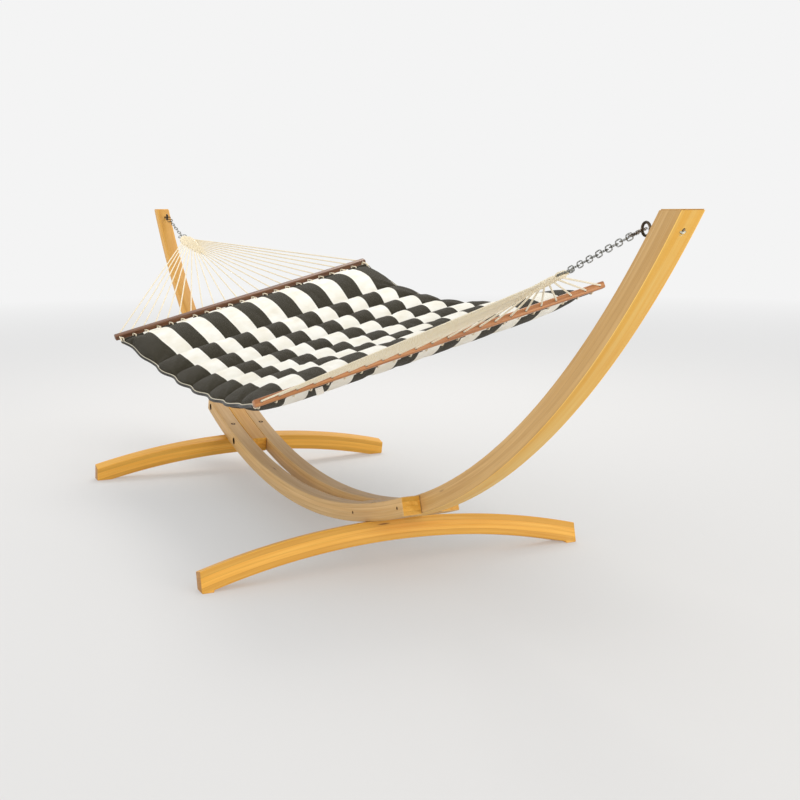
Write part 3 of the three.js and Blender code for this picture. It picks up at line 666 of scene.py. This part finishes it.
def twistedRope(name, base, groove, light):
    # Three-strand spun polyester: soft, slightly fuzzy, with the strands' grooves winding
    # round it. A lay of 18 mm is a real one for 6 mm rope.
    material, tree = newMaterial(name)
    split = addNode(tree, "SeparateXYZ", inputs={"Vector": placeNode(tree).outputs["Vector"]}).outputs
    angle = mathOf(tree, "DIVIDE", mathOf(tree, "ARCTAN2", split[2], split[1]), 2 * math.pi)
    turns = mathOf(tree, "DIVIDE", split[0], ropeSet["lay"])
    strand = mathOf(tree, "FRACT", mathOf(tree, "MULTIPLY", mathOf(tree, "ADD", angle, turns), 3.0))
    crown = mathOf(tree, "SINE", mathOf(tree, "MULTIPLY", strand, math.pi))
    objectPlace = addNode(tree, "TexCoord").outputs["Object"]
    fuzz = addNode(tree, "TexNoise", inputs={"Vector": objectPlace, "Scale": 240.0,
                                             "Detail": 3.0}).outputs[0]
    # painted shade: the grooves between the strands are coloured darker, towards the groove colour
    colour = blendColours(tree, spread(tree, crown, 0.0, 0.65), linear(groove), linear(base))
    colour = blendColours(tree, spread(tree, fuzz, 0.45, 0.7, 0.0, 0.5), colour, linear(light))
    height = mathOf(tree, "ADD", crown, mathOf(tree, "MULTIPLY", fuzz, 0.3))
    bump = addNode(tree, "Bump", inputs={"Strength": 0.8, "Distance": 0.0012, "Height": height}).outputs[0]
    finish = {"Base Color": colour, "Roughness": 0.85, "Specular IOR Level": 0.2, "Sheen Weight": 0.3,
              "Sheen Roughness": 0.5, "Normal": bump}
    shader = addNode(tree, "BsdfPrincipled", inputs=finish)
    finishMaterial(tree, shader)
    return material


# the second colour is painted shade for the grooves between the strands
ropeLook = twistedRope("twisted spun polyester rope", "#f7eacb", "#cdbb8e", "#fffaf0")


def clewHalf(distance):
    along = min(max(distance - ropeSet["ring"], 0) / (ropeSet["clew"] - ropeSet["ring"]), 1)
    leaf = math.sin(math.pi * along ** (math.log(0.5) / math.log(ropeSet["widest"])))
    return (ropeSet["neck"] * (1 - along) + ropeSet["swell"] * leaf) / 2 + 0.0015


def makeHarness(end):
    turn, length, shift = endFrame(end)
    ys = holePlaces()
    outermost = ys[-1]
    first = ropeSet["clew"] - 0.012
    nearest = 4 * ropeSet["ring"]
    parts = []
    for i, y in enumerate(ys):
        share = abs(y) / outermost
        leave = first - (first - nearest) * share
        over = 1 if i % 2 else -1
        points = []
        # round the ring's far side, then down the clew
        for angle in (75, 30, -15):
            a = math.radians(angle)
            reach = ropeSet["wire"] / 2 + ropeSet["radius"]
            points.append((length - ropeSet["ring"] + reach * math.sin(a), shift + y / outermost * 0.011,
                           over * reach * math.cos(a)))
        distance = ropeSet["ring"] + 0.012
        while distance < leave - 0.006:
            widest = min(outermost * (first - distance) / (first - nearest), outermost)
            lateral = clewHalf(distance) * min(abs(y) / widest, 1)
            lift = 0.0032 * math.sin(math.pi * distance / ropeSet["weftPitch"]) * over
            points.append((length - distance, shift + math.copysign(lateral, y), lift))
            distance += ropeSet["weftPitch"] / 2
        points.append((length - leave, shift + math.copysign(clewHalf(leave), y), 0))
        curve = smoothPath(points, 3)
        mouth = barSet["depth"] / 2 + 0.004
        curve += [Vector((mouth, y, 0.0004)), Vector((0, y, 0)), Vector((-mouth, y, 0))]
        parts.append(tube(curve, ropeSet["radius"], 8, tag=i * 0.37))
        # the loop round the hem
        wrap = ropeSet["hemRadius"] + ropeSet["radius"] * 0.6
        hem = ropeSet["hemPlace"]
        loop = [(-mouth, y - 0.003, 0.002), (hem + wrap * 0.7, y - 0.005, wrap * 0.75),
                (hem, y - 0.004, wrap), (hem - wrap * 0.8, y - 0.002, wrap * 0.6),
                (hem - wrap, y, 0), (hem - wrap * 0.8, y + 0.002, -wrap * 0.6),
                (hem, y + 0.004, -wrap), (hem + wrap * 0.7, y + 0.005, -wrap * 0.75),
                (-mouth, y + 0.003, -0.002)]
        parts.append(tube(smoothPath(loop, 3), ropeSet["radius"] * 0.85, 8, tag=i * 0.23))
    # the weft woven across the clew
    row = 0
    distance = ropeSet["ring"] + 0.014
    while distance < ropeSet["clew"] - 0.03:
        half = clewHalf(distance) + 0.002
        steps = 8
        points = []
        for k in range(steps + 1):
            t = 2 * k / steps - 1
            points.append((length - distance - 0.004 * (1 - t * t), shift + half * t,
                           0.0045 * (1 if (k + row) % 2 else -1) * (1 - t ** 6)))
        parts.append(tube(smoothPath(points, 2), ropeSet["radius"] * 0.9, 7, tag=row * 0.11))
        row += 1
        distance += ropeSet["weftPitch"] / 2
    # the two binding cords along the clew's edges
    for side in (-1, 1):
        points = []
        for k in range(19):
            distance = ropeSet["ring"] + 0.006 + (ropeSet["clew"] - ropeSet["ring"] - 0.01) * k / 18
            points.append((length - distance, shift + side * (clewHalf(distance) + 0.002),
                           0.003 * (1 if k % 2 else -1)))
        parts.append(tube(smoothPath(points, 2), ropeSet["radius"], 7, tag=side * 0.5))
    verts, faces, places = joined(parts)
    verts = [turn @ Vector(v) for v in verts]
    piece = newPiece("harness_" + end + "_ropes", verts, faces, [ropeLook], "hammock", places)
    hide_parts("harness_" + end)


for end in ("right", "left"):
    makeBar(end)
    makeHarness(end)
print("bars and harnesses")


bedSet = {"width": 1.276, "waist": 0.050, "sag": 0.111, "bar": 1.058, "cloth": 2.03,
          "seams": (0.217, 0.339, 0.461, 0.584, 0.708, 0.834), "across": 112, "cell": 0.0135, "loft": 0.038,
          "underLoft": 0.026, "seam": 0.0016, "pinch": 0.010,
          "bulge": 0.006, "stripes": 13, "stripe": 0.0815, "pressure": 4.0, "slack": 0.012, "cap": 0.030,
          "wrinkle": 0.0042, "wrinkleReach": 0.085, "seed": 4, "thread": 0.0016, "steps": 20}
hems = {end: unhung @ middleOf("hem_rod_" + end) for end in ("left", "right")}


def stripedCanvas(name, ivory, charcoal, lightCharcoal, seam):
    # Solution-dyed acrylic canvas in two colours: matt, with a soft sheen at grazing angles and
    # a plain weave. Real threads are 0.4 mm, drawn 1.6 mm so that they show.
    material, tree = newMaterial(name)
    split = addNode(tree, "SeparateXYZ", inputs={"Vector": placeNode(tree).outputs["Vector"]}).outputs
    # thirteen even stripes, with a wider dark one along each side
    inner = bedSet["stripes"] * bedSet["stripe"] / bedSet["width"]
    fromFirst = mathOf(tree, "DIVIDE", mathOf(tree, "SUBTRACT", split[1], 0.5 - inner / 2), inner)
    stripe = mathOf(tree, "ADD", mathOf(tree, "MULTIPLY", fromFirst, float(bedSet["stripes"])), 1.0)
    stripe = mathOf(tree, "MINIMUM", mathOf(tree, "MAXIMUM", stripe, 0.5), bedSet["stripes"] + 1.5)
    odd = mathOf(tree, "MODULO", mathOf(tree, "FLOOR", stripe), 2.0)
    warp = mathOf(tree, "SINE", mathOf(tree, "MULTIPLY", split[0], 2 * math.pi / bedSet["thread"]))
    turnsAcross = 2 * math.pi * bedSet["width"] / bedSet["thread"]
    weft = mathOf(tree, "SINE", mathOf(tree, "MULTIPLY", split[1], turnsAcross))
    weave = mathOf(tree, "MULTIPLY", warp, weft)
    objectPlace = addNode(tree, "TexCoord").outputs["Object"]
    cloud = addNode(tree, "TexNoise", inputs={"Vector": objectPlace, "Scale": 14.0, "Detail": 4.0}).outputs[0]
    slub = addNode(tree, "TexNoise", inputs={"Vector": stretched(tree, objectPlace, (60.0, 400.0, 60.0)),
                                             "Scale": 1.0, "Detail": 2.0}).outputs[0]
    dark = blendColours(tree, spread(tree, slub, 0.4, 0.7), linear(charcoal), linear(lightCharcoal))
    dark = blendColours(tree, spread(tree, weave, -1.0, 1.0, 0.0, 0.25), dark, linear("#57523f"))
    pale = blendColours(tree, spread(tree, cloud, 0.35, 0.7), linear(ivory), linear("#ece8da"))
    pale = blendColours(tree, spread(tree, weave, -1.0, 1.0, 0.12, 0.0), pale, linear("#d8d3c4"))
    colour = blendColours(tree, odd, dark, pale)
    # the stitched line in the seams' valleys
    colour = blendColours(tree, spread(tree, split[2], 0.75, 1.0, 0.0, 0.55), colour, linear(seam))
    height = mathOf(tree, "ADD", mathOf(tree, "MULTIPLY", weave, 0.25), mathOf(tree, "MULTIPLY", cloud, 1.6))
    bump = addNode(tree, "Bump", inputs={"Strength": 0.45, "Distance": 0.0018, "Height": height}).outputs[0]
    finish = {"Base Color": colour, "Roughness": 0.92, "Specular IOR Level": 0.12, "Sheen Weight": 0.10,
              "Sheen Roughness": 0.4, "Normal": bump}
    shader = addNode(tree, "BsdfPrincipled", inputs=finish)
    finishMaterial(tree, shader)
    return material


def plainCloth(name, base, dark, scale=900.0):
    # Woven edging tape: matt, with a fine rib.
    material, tree = newMaterial(name)
    objectPlace = addNode(tree, "TexCoord").outputs["Object"]
    rib = addNode(tree, "TexNoise", inputs={"Vector": objectPlace, "Scale": scale,
                                            "Detail": 2.0}).outputs[0]
    colour = blendColours(tree, spread(tree, rib, 0.4, 0.65), linear(dark), linear(base))
    bump = addNode(tree, "Bump", inputs={"Strength": 0.5, "Distance": 0.0005, "Height": rib}).outputs[0]
    finish = {"Base Color": colour, "Roughness": 0.9, "Specular IOR Level": 0.15, "Sheen Weight": 0.2,
              "Normal": bump}
    shader = addNode(tree, "BsdfPrincipled", inputs=finish)
    finishMaterial(tree, shader)
    return material


canvas = stripedCanvas("charcoal and ivory acrylic canvas", "#f8f7f0", "#2b271e", "#3a362c", "#474135")
piping = plainCloth("charcoal edge piping", "#3b3934", "#24231f")
creamTape = plainCloth("cream seam tape", "#efe8d4", "#cfc6ac")


def ramp(value, low, high):
    t = min(max((value - low) / (high - low), 0), 1)
    return t * t * (3 - 2 * t)


def wobble(x, y, seed):
    # broad swells with smaller ones on them, from about -1 to 1
    broad = noise.noise(Vector((x * 7.0, y * 7.0, seed)))
    return broad * 0.6 + noise.noise(Vector((x * 19.0, y * 19.0, seed + 3))) * 0.4


def bedRows():
    # (share of the length, channel, share of the channel)
    edges = [0, *bedSet["seams"], 1]
    span = (hems["right"] - hems["left"]).length
    rows = []
    for channel in range(len(edges) - 1):
        first, last = edges[channel], edges[channel + 1]
        count = max(int((last - first) * span / bedSet["cell"]), 4)
        for k in range(count):
            even = k / count
            packed = 0.55 * even + 0.45 * (0.5 - 0.5 * math.cos(math.pi * even))
            rows.append((first + (last - first) * packed, channel, packed))
    return rows + [(1.0, len(edges) - 2, 1.0)]


def bedPoint(row, t, side):
    share, channel, within = row
    middle = hems["left"].lerp(hems["right"], share)
    middle.z -= bedSet["sag"] * 4 * share * (1 - share)
    last = channel == len(bedSet["seams"])
    first = channel == 0
    half = bedSet["width"] / 2 - bedSet["waist"] * (1 - (middle.x / bedSet["bar"]) ** 2)
    puffed = math.sin(math.pi * within)
    if first:
        puffed = math.sin(math.pi * ramp(within, 0.25, 1.0)) if within > 0.25 else 0
    if last:
        puffed = math.sin(math.pi * (1 - ramp(within, 0.0, 0.75))) if within < 0.75 else 0
    pull = bedSet["pinch"] * (1 - ramp(1 - abs(2 * within - 1), 0.0, 0.7))
    if (first and within < 0.5) or (last and within > 0.5):
        pull = 0
    half += bedSet["bulge"] * puffed - pull
    rounded = max(1 - abs(t) ** 11, 0) ** 0.55
    long = (bedSet["seams"][0] if first else 1 - bedSet["seams"][-1] if last else 0.12)
    long *= bedSet["cloth"]
    fromHem = within * long if first else (1 - within) * long if last else 1
    fromSide = (1 - abs(t)) * half
    corner = ramp(math.hypot(fromHem, fromSide * 1.2), 0.02, 0.17)
    swell = math.sqrt(max(math.sin(math.pi * within), 0)) * rounded * corner
    swell *= 0.35 + 0.65 * ramp(fromHem, 0.0, 0.07)
    loft = bedSet["loft"] if side > 0 else bedSet["underLoft"]
    uneven = 1 + 0.10 * wobble(middle.x, t * half, bedSet["seed"] + side)
    lift = side * (bedSet["seam"] * rounded + loft * swell * uneven)
    middle.y += t * half
    middle.z += lift
    return middle


def makeBed():
    rows = bedRows()
    count = bedSet["across"]
    verts, places, pinned = [], [], []
    top, bottom = [], []
    for i, row in enumerate(rows):
        hem = i in (0, len(rows) - 1)
        seam = row[2] == 0.0 or hem
        topRow, bottomRow = [], []
        for j in range(count + 1):
            even = 2 * j / count - 1
            t = 0.72 * even + 0.28 * math.sin(even * math.pi / 2)  # closer together near the sides
            for side in (1, -1):
                if side < 0 and (hem or j in (0, count)):
                    bottomRow.append(topRow[-1])
                    continue
                index = len(verts)
                verts.append(bedPoint(row, t, side))
                places.append((row[0] * bedSet["cloth"], (t + 1) / 2, 1.0 if seam and not hem else 0.0))
                if seam:
                    pinned.append(index)
                (topRow if side > 0 else bottomRow).append(index)
        top.append(topRow)
        bottom.append(bottomRow)
    faces = []
    for i in range(len(rows) - 1):
        for j in range(count):
            faces.append([top[i][j], top[i + 1][j], top[i + 1][j + 1], top[i][j + 1]])
            faces.append([bottom[i][j], bottom[i][j + 1], bottom[i + 1][j + 1], bottom[i + 1][j]])
    verts = [hung @ v for v in verts]
    piece = newPiece("quilt", verts, faces, [canvas], "hammock", places)
    work = bmesh.new()
    work.from_mesh(piece.data)
    bmesh.ops.recalc_face_normals(work, faces=work.faces)
    work.to_mesh(piece.data)
    work.free()
    puff(piece, pinned)
    crumple(piece, rows)
    sides = [[piece.data.vertices[row[j]].co.copy() for row in top] for j in (0, count)]
    smooth = piece.modifiers.new("smooth", "SUBSURF")
    smooth.levels = smooth.render_levels = 1
    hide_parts("quilted_bed")
    return sides


def crumple(piece, rows):
    # creases that fan out from where each seam meets a side edge, fading into the channel
    mesh = piece.data
    local = np.array([(unhung @ v.co)[:] for v in mesh.vertices])
    normal = np.array([v.normal[:] for v in mesh.vertices])
    push = np.zeros(len(local))
    for row in rows:
        for t in (-1, 1) if row[2] == 0.0 and row[1] else ():
            pinch = bedPoint(row, t, 0)
            awayX, awayY = local[:, 0] - pinch.x, local[:, 1] - pinch.y
            reach = np.hypot(awayX, awayY)
            angle = np.arctan2(awayX, np.abs(awayY) + 0.004)
            fan = np.sin(angle * 9 + 2.2 * np.sin(angle * 2.3 + pinch.x * 11 + t))
            near = np.clip((reach - 0.006) / 0.029, 0, 1)
            push += bedSet["wrinkle"] * near * np.exp(-reach / bedSet["wrinkleReach"]) * fan * (reach < 0.22)
    moved = np.array([v.co[:] for v in mesh.vertices]) + normal * push[:, None]
    mesh.vertices.foreach_set("co", moved.astype(np.float32).ravel())
    mesh.update()


def puff(piece, pinned):
    # blows the sewn shell up like a filled cushion and keeps the result
    before = np.array([v.co[:] for v in piece.data.vertices])
    group = piece.vertex_groups.new(name="pinned")
    group.add(pinned, 1.0, "REPLACE")
    cloth = piece.modifiers.new("puff", "CLOTH")
    settings = cloth.settings
    settings.quality = 5
    settings.mass = 0.3
    settings.tension_stiffness = settings.compression_stiffness = 12
    settings.shear_stiffness = 4
    settings.bending_stiffness = 0.15
    settings.vertex_group_mass = "pinned"
    settings.use_pressure = True
    settings.uniform_pressure_force = bedSet["pressure"]
    settings.shrink_min = -bedSet["slack"]
    settings.effector_weights.gravity = 0
    cloth.collision_settings.use_collision = False
    cloth.point_cache.frame_start, cloth.point_cache.frame_end = 1, bedSet["steps"]
    for step in range(1, bedSet["steps"] + 1):
        scene.frame_set(step)
    evaluated = piece.evaluated_get(bpy.context.evaluated_depsgraph_get())
    after = np.array([v.co[:] for v in evaluated.data.vertices])
    moved = after - before
    length = np.linalg.norm(moved, axis=1, keepdims=True)
    print("cloth moved up to", round(float(length.max()), 4))
    limit = bedSet["cap"]
    moved *= np.where(length > limit, limit / np.maximum(length, 1e-9), 1)
    piece.modifiers.remove(cloth)
    scene.frame_set(1)
    piece.data.vertices.foreach_set("co", (before + moved).astype(np.float32).ravel())
    piece.data.update()


def eased(path, times):
    # evens out a path by moving each point towards its neighbours
    for _ in range(times):
        path = [path[0], *[(a + b * 2 + c) / 4 for a, b, c in zip(path, path[1:], path[2:])], path[-1]]
    return path


edgingSet = {"evened": 12, "pipingRadius": 0.0052, "pipingOut": 0.0045, "pipingDown": 0.001,
             "tapeRadius": 0.0016, "tapeOut": 0.0015, "tapeUp": 0.0048}
tieSet = {"radius": 0.0027, "fromEdge": 0.004}


def makeEdging(sides):
    for name, edge, outward in (("front", sides[0], -1), ("back", sides[1], 1)):
        away = hung.to_3x3() @ Vector((0, outward, 0))
        up = hung.to_3x3() @ Vector((0, 0, 1))
        edge = eased(edge, edgingSet["evened"])
        out, down = edgingSet["pipingOut"], edgingSet["pipingDown"]
        path = [p + away * out - up * down for p in edge[1:-1]]
        verts, faces, places = tube(path, edgingSet["pipingRadius"], 10)
        newPiece("piping_" + name, verts, faces, [piping], "hammock", places)
        out, above = edgingSet["tapeOut"], edgingSet["tapeUp"]
        path = [p + away * out + up * above for p in edge[2:-2]]
        verts, faces, places = tube(path, edgingSet["tapeRadius"], 8)
        newPiece("seam_tape_" + name, verts, faces, [creamTape], "hammock", places)


def makeSleeves():
    for end, hem in hems.items():
        radius = ropeSet["hemRadius"]
        half = bedSet["width"] / 2 - 0.006
        ys = [-half + 2 * half * k / 90 for k in range(91)]
        path = [hung @ (hem + Vector((0, y, 0))) for y in ys]
        verts, faces, _ = tube(path, [radius * (0.86 if k in (0, 90) else 1.0) for k in range(91)], 16)
        places = []
        for v in verts:
            local = unhung @ v
            across = (local.y - hem.y) / bedSet["width"] + 0.5
            angle = math.atan2(local.z - hem.z, local.x - hem.x)
            places.append((angle * radius + 3.0, across, 0.0))
        newPiece("hem_sleeve_" + end, verts, faces, [canvas], "hammock", places)


sides = makeBed()
makeEdging(sides)
makeSleeves()
print("quilted bed")


def wornSteel(name, base, dark, rough, scale=90.0):
    # Plated steel that has hung outdoors: mostly bright, with duller cloudy patches.
    material, tree = newMaterial(name)
    place = addNode(tree, "TexCoord").outputs["Object"]
    cloud = addNode(tree, "TexNoise", inputs={"Vector": place, "Scale": scale, "Detail": 4.0}).outputs[0]
    colour = blendColours(tree, spread(tree, cloud, 0.4, 0.65), linear(base), linear(dark))
    bump = addNode(tree, "Bump", inputs={"Strength": 0.2, "Distance": 0.0003, "Height": cloud}).outputs[0]
    finish = {"Base Color": colour, "Metallic": 1.0, "Normal": bump,
              "Roughness": spread(tree, cloud, 0.35, 0.7, rough, rough + 0.2)}
    shader = addNode(tree, "BsdfPrincipled", inputs=finish)
    finishMaterial(tree, shader)
    return material


zincSteel = wornSteel("zinc plated steel", "#8f9089", "#5f6059", 0.32)
# partly painted shade: the lap and foot bolts take this dark steel so that their bores read dark; the S-hooks
# and eye bolt take it as well
steelDarkWithBoreShade = wornSteel("bronzed steel with painted shade for the bolts in bores", "#6d5f4f", "#3c342a", 0.38)
labelCloth = plainCloth("white woven label", "#f4f2ec", "#dddad0", 700.0)


def finishSteel():
    # the loaded meshes share no corners between faces, so subdivision parts them and the bevel finds no edge
    for name in frame["nodes"]:
        piece = bpy.data.objects.get(name)
        if piece is None:
            continue
        # painted shade in part: the lap and foot bolts are darkened so that their bores look shadowed
        dark = name.startswith(("s_hook", "eye_bolt", "lap_", "foot_bolt"))
        steel = dark or name.startswith(("chain", "ring", "lap_", "foot_bolt", "eye_nut", "hem_rod"))
        if not steel and name != "sewn_tag":
            continue
        piece.data.materials.clear()
        piece.data.materials.append(labelCloth if name == "sewn_tag" else steelDarkWithBoreShade if dark else zincSteel)
        if name.startswith(("chain", "ring", "s_hook")):
            rounding = piece.modifiers.new("round", "SUBSURF")
            rounding.levels = rounding.render_levels = 2
        elif steel:
            ease = piece.modifiers.new("ease", "BEVEL")
            ease.width = 0.0006
            ease.segments = 2
            ease.limit_method = "ANGLE"
            ease.angle_limit = math.radians(35)


def makeCornerTies():
    # a small cord from each hem corner to the bar's inner face
    parts = []
    for end in ("right", "left"):
        turn = endFrame(end)[0]
        for side in (-1, 1):
            y = side * (bedSet["width"] / 2 - tieSet["fromEdge"])
            inner, hem = -barSet["depth"] / 2, ropeSet["hemPlace"]
            loop = [(inner + 0.006, y - side * 0.004, 0.004), (inner - 0.006, y - side * 0.002, 0.006),
                    (hem + 0.006, y, 0.009), (hem - 0.010, y + side * 0.001, 0.004), (hem - 0.010, y, -0.005),
                    (hem + 0.006, y - side * 0.002, -0.009), (inner + 0.006, y - side * 0.006, -0.004)]
            verts, faces, places = tube(smoothPath(loop, 5), tieSet["radius"], 8)
            parts.append(([turn @ v for v in verts], faces, places))
    verts, faces, places = joined(parts)
    newPiece("corner_ties", verts, faces, [ropeLook], "hammock", places)


finishSteel()
makeCornerTies()
print("steel, label and ties")
